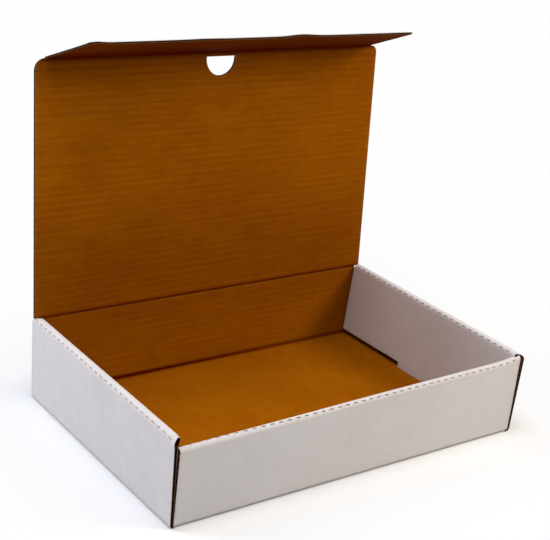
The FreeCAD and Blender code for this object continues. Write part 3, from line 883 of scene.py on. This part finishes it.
# ------------ materials
class Nodes:
    """Adds shader nodes to a new material or world.

    Inputs are given by name or place, as values or as other outputs.
    """

    def __init__(self, block):
        block.use_nodes = True
        self.block, self.tree = block, block.node_tree
        self.shader = self.tree.nodes.get("Principled BSDF")

    def set(self, node, inputs):
        for key, value in inputs.items():
            socket = node.inputs[key]
            if isinstance(value, bpy.types.NodeSocket):
                self.tree.links.new(value, socket)
            else:
                socket.default_value = value

    def add(self, kind, inputs, output=0, **settings):
        node = self.tree.nodes.new("ShaderNode" + kind)
        for key, value in settings.items():
            setattr(node, key, value)
        self.set(node, inputs)
        return node.outputs[output]

    def math(self, operation, *values):
        return self.add("Math", dict(enumerate(values)), operation=operation)

    def weighed(self, a, weight_a, b, weight_b):
        """The two values added, each times its weight."""
        return self.math("ADD", self.math("MULTIPLY", a, weight_a), self.math("MULTIPLY", b, weight_b))

    def noise(self, place, scale, detail=3.0, roughness=0.55):
        return self.add("TexNoise", {"Vector": place, "Scale": scale, "Detail": detail,
                                     "Roughness": roughness})

    def stretched(self, place, along, across):
        return self.add("Mapping", {"Vector": place, "Scale": (along, across, 1.0)})

    def ramp(self, value, low, high, out_low=0.0, out_high=1.0):
        return self.add("MapRange", {"Value": value, "From Min": low, "From Max": high,
                                     "To Min": out_low, "To Max": out_high}, clamp=True,
                        interpolation_type="SMOOTHSTEP")

    def about_one(self, value, low, high, swing):
        """A factor that goes from 1 - swing to 1 + swing as the value goes from low to high."""
        return self.ramp(value, low, high, 1.0 - swing, 1.0 + swing)

    def mix(self, share, a, b):
        node = self.tree.nodes.new("ShaderNodeMix")
        node.data_type = "RGBA"
        self.set(node, {0: share, 6: a, 7: b})
        return node.outputs[2]

    def scaled(self, colour, factor):
        return self.add("VectorMath", {0: colour, 3: factor}, operation="SCALE")


def paper(name, colour, mottled, worn, speck, roughness, specular, flute_shade, contrast,
          painted_shade=None):
    """A paper liner over flutes: mottling, fibres, specks, painted shade of the flute lines, worn
    folds.

    flute_shade says how much the flutes' painted shade lightens and darkens it, and contrast how much
    the fibres do.
    """
    n = Nodes(bpy.data.materials.new(name))
    sheet = n.add("UVMap", {}, uv_map="sheet")
    place = n.add("NewGeometry", {})
    across = n.add("SeparateXYZ", {0: sheet}, output=1)
    # Painted shade of the flutes: a wave across them that lightens and darkens the colour in turn.
    flutes = n.math("COSINE", n.math("MULTIPLY", across, 2 * math.pi / (FLUTE * SHEET_SCALE)))
    drift = n.noise(sheet, 1.6, 2.0)
    cloud = n.noise(sheet, 9.0, 4.0, 0.6)
    fibre = n.noise(n.stretched(sheet, 160.0, 22.0), 1.0, 4.0, 0.7)
    grain = n.noise(place, 1900.0, 2.0, 0.5)
    fine = n.weighed(fibre, 0.65, grain, 0.35)
    streak = n.noise(n.stretched(sheet, 1.5, 62.0), 1.0, 2.0)
    # The fibres' own contrast, times the flutes' painted shade, made uneven by streaks along the
    # flutes.
    shade = n.math("MULTIPLY", n.about_one(fine, 0.3, 0.7, contrast),
                   n.about_one(flutes, -1.0, 1.0, flute_shade))
    shade = n.math("MULTIPLY", shade, n.about_one(streak, 0.3, 0.7, 1.6 * flute_shade))
    base = n.mix(n.ramp(n.weighed(drift, 0.5, cloud, 0.5), 0.36, 0.64), colour, mottled)
    base = n.scaled(base, shade)
    specks = n.ramp(n.noise(sheet, 260.0, 1.0, 0.4), 0.70, 0.76)
    base = n.mix(n.math("MULTIPLY", specks, 0.5), base, speck)
    wear = n.add("Attribute", {}, output=2, attribute_name="wear")
    rubbed = n.math("MULTIPLY", wear, n.ramp(n.noise(place, 420.0, 3.0, 0.65), 0.38, 0.66))
    base = n.mix(n.math("MULTIPLY", rubbed, 0.55), base, worn)
    # Painted shade: where the mesh's attribute asks, the colour goes towards the dark red given.
    if painted_shade is not None:
        base = n.mix(n.add("Attribute", {}, output=2, attribute_name="painted_shade"), base, painted_shade)
    rough = n.math("ADD", n.ramp(cloud, 0.3, 0.7, roughness - 0.05, roughness + 0.05),
                   n.math("MULTIPLY", rubbed, 0.12))
    height = n.weighed(fine, 0.6, rubbed, -0.7)
    normal = n.add("Bump", {"Height": height, "Strength": 0.35, "Distance": 0.00008})
    n.set(n.shader, {"Base Color": base, "Roughness": rough, "Normal": normal,
                     "Specular IOR Level": specular})
    return n.block


# Kraft liner; the dark red given last is the colour of its painted shade.
def kraft(name, flute_shade, contrast):
    return paper(name, colour=(0.345, 0.106, 0.0012, 1), mottled=(0.305, 0.087, 0.001, 1),
                 worn=(0.42, 0.15, 0.02, 1), speck=(0.16, 0.035, 0.002, 1), roughness=0.85,
                 specular=0.015, flute_shade=flute_shade, contrast=contrast,
                 painted_shade=(0.085, 0.003, 0.0002, 1))


def cut_paper(name, light, dark, scale):
    """Torn paper in the colours given: for the cut edges of the board, for the hollows inside it in
    painted shade, and for the cuts' walls in painted light.
    """
    n = Nodes(bpy.data.materials.new(name))
    place = n.add("NewGeometry", {})
    torn = n.ramp(n.noise(place, scale, 4.0, 0.7), 0.35, 0.68)
    height = n.noise(place, 2.0 * scale, 2.0)
    normal = n.add("Bump", {"Height": height, "Strength": 0.5, "Distance": 0.0001})
    n.set(n.shader, {"Base Color": n.mix(torn, dark, light), "Roughness": 0.9, "Normal": normal,
                     "Specular IOR Level": 0.08})
    return n.block


# In the order of WHITE, KRAFT, KRAFT_FAINT_FLUTE_SHADE, CORE, HOLLOW and CUT_FACE.
MATERIALS = [
    paper("white_liner", colour=(0.735, 0.722, 0.745, 1), mottled=(0.70, 0.682, 0.70, 1),
          worn=(0.50, 0.42, 0.36, 1), speck=(0.52, 0.48, 0.45, 1), roughness=0.56,
          specular=0.22, flute_shade=0.004, contrast=0.018),
    kraft("kraft_liner", flute_shade=0.05, contrast=0.09),
    # The floor's kraft gets little of the flutes' painted shade, and more fibre contrast.
    kraft("kraft_floor", flute_shade=0.01, contrast=0.14),
    cut_paper("cut_liner", (0.26, 0.14, 0.065, 1), (0.11, 0.050, 0.022, 1), 900.0),
    # The hollows between the liners are near black: painted shade inside the board's cut edges.
    cut_paper("hollow_painted_shade", (0.055, 0.022, 0.010, 1), (0.025, 0.009, 0.004, 1), 500.0),
    # The cuts' walls and closed bottoms are pale grey: painted light inside the cuts.
    cut_paper("cut_walls_painted_light", (0.58, 0.54, 0.53, 1), (0.38, 0.34, 0.33, 1), 700.0),
]


# ------------ stage and camera
# From here on, lengths are in metres.
BACKDROP = (0.99, 0.99, 0.99, 1)
FLOOR_SEEN, FLOOR_LIGHTING = (0.875, 0.89, 0.92, 1), (0.56, 0.56, 0.56, 1)
FLOOR_SIZE, FLOOR_DROP = 7.0, 0.0002
SHADOW_FULL, SHADOW_SOFT, SHADOW_GONE = 0.003, 0.055, 0.25      # distances from the box
WORLD_LIGHT, WORLD_STRENGTH = (1.0, 0.99, 0.99, 1), 0.27
LAMP_TARGET = Vector((0, 0, 0.05))
LENS, SENSOR = 82.27, 36.0
CAMERA_PLACE, CAMERA_TURN = (-0.61033, -0.77293, 0.50791), (69.1258, -5.5891, -35.4966)


def stage_floor():
    """A pale floor that keeps the shadow and fades, for the eye alone, to the backdrop."""
    mesh = bpy.data.meshes.new("stage_floor")
    size = FLOOR_SIZE
    corners = [(-size, -size, 0), (size, -size, 0), (size, size, 0), (-size, size, 0)]
    mesh.from_pydata(corners, [], [(0, 1, 2, 3)])
    floor = bpy.data.objects.new("stage_floor", mesh)
    floor.location.z = -FLOOR_DROP
    bpy.context.scene.collection.objects.link(floor)
    n = Nodes(bpy.data.materials.new("pale_floor"))
    split = n.tree.nodes.new("ShaderNodeSeparateXYZ")
    n.set(split, {0: n.add("NewGeometry", {})})
    beside = n.math("SUBTRACT", n.math("ABSOLUTE", split.outputs[0]), WIDTH / 2 * MM)
    ahead = n.math("SUBTRACT", n.math("ABSOLUTE", split.outputs[1]), DEPTH / 2 * MM)
    distance = n.math("MAXIMUM", beside, ahead)
    ray = n.tree.nodes.new("ShaderNodeLightPath").outputs
    seen = n.math("MAXIMUM", n.math("MAXIMUM", ray["Is Camera Ray"], ray["Is Glossy Ray"]),
                  ray["Is Transmission Ray"])
    fade = n.math("ADD", n.ramp(distance, SHADOW_FULL, SHADOW_SOFT, 0.0, 0.7),
                  n.ramp(distance, SHADOW_SOFT, SHADOW_GONE, 0.0, 0.3))
    white = n.add("Emission", {"Color": BACKDROP, "Strength": 1.0})
    n.set(n.shader, {"Base Color": n.mix(seen, FLOOR_LIGHTING, FLOOR_SEEN), "Roughness": 0.9,
                     "Specular IOR Level": 0.1})
    both = n.add("MixShader", {0: n.math("MULTIPLY", seen, fade), 1: n.shader.outputs[0], 2: white})
    n.set(n.tree.nodes["Material Output"], {"Surface": both})
    mesh.materials.append(n.block)


def light_world():
    """Soft light from all round, which the camera sees as the white backdrop."""
    world = bpy.data.worlds.new("studio")
    bpy.context.scene.world = world
    n = Nodes(world)
    n.tree.nodes.clear()
    by_eye = n.tree.nodes.new("ShaderNodeLightPath").outputs["Is Camera Ray"]
    light = n.add("Background", {"Color": WORLD_LIGHT, "Strength": WORLD_STRENGTH})
    seen = n.add("Background", {"Color": BACKDROP})
    both = n.add("MixShader", {0: by_eye, 1: light, 2: seen})
    n.set(n.tree.nodes.new("ShaderNodeOutputWorld"), {"Surface": both})


def lamp(name, place, size, power, colour):
    """A square soft box that faces the object."""
    data = bpy.data.lights.new(name, "AREA")
    data.size = size
    data.energy = power
    data.color = colour
    obj = bpy.data.objects.new(name, data)
    obj.location = place
    obj.rotation_euler = (LAMP_TARGET - Vector(place)).to_track_quat("-Z", "Y").to_euler()
    obj.visible_camera = False
    bpy.context.scene.collection.objects.link(obj)


def studio():
    """The floor, the backdrop and the lamps."""
    stage_floor()
    light_world()
    lamp("cool_left", (-1.1, 0.95, 0.82), size=0.8, power=15.5, colour=(0.925, 0.93, 1.0))
    lamp("top", (-0.3, -0.15, 1.5), size=0.8, power=10.5, colour=(1.0, 1.0, 1.0))
    lamp("warm_right", (0.66, -0.6, 0.74), size=0.4, power=6.6, colour=(1.0, 0.875, 0.71))
    bpy.context.scene.view_settings.view_transform = "Standard"


def camera():
    """The photograph's camera, fitted to the box's edges and rows of cuts."""
    data = bpy.data.cameras.new("camera")
    data.sensor_width = SENSOR
    data.lens = LENS
    data.clip_start = 0.01
    obj = bpy.data.objects.new("camera", data)
    obj.location = CAMERA_PLACE
    obj.rotation_euler = tuple(math.radians(angle) for angle in CAMERA_TURN)
    bpy.context.scene.collection.objects.link(obj)
    bpy.context.scene.camera = obj


floor_panel()
side_wall(-1)
side_wall(1)
front_wall()
back_wall()
hinge()
lid()
top_crease()
tuck_flap()
studio()
camera()
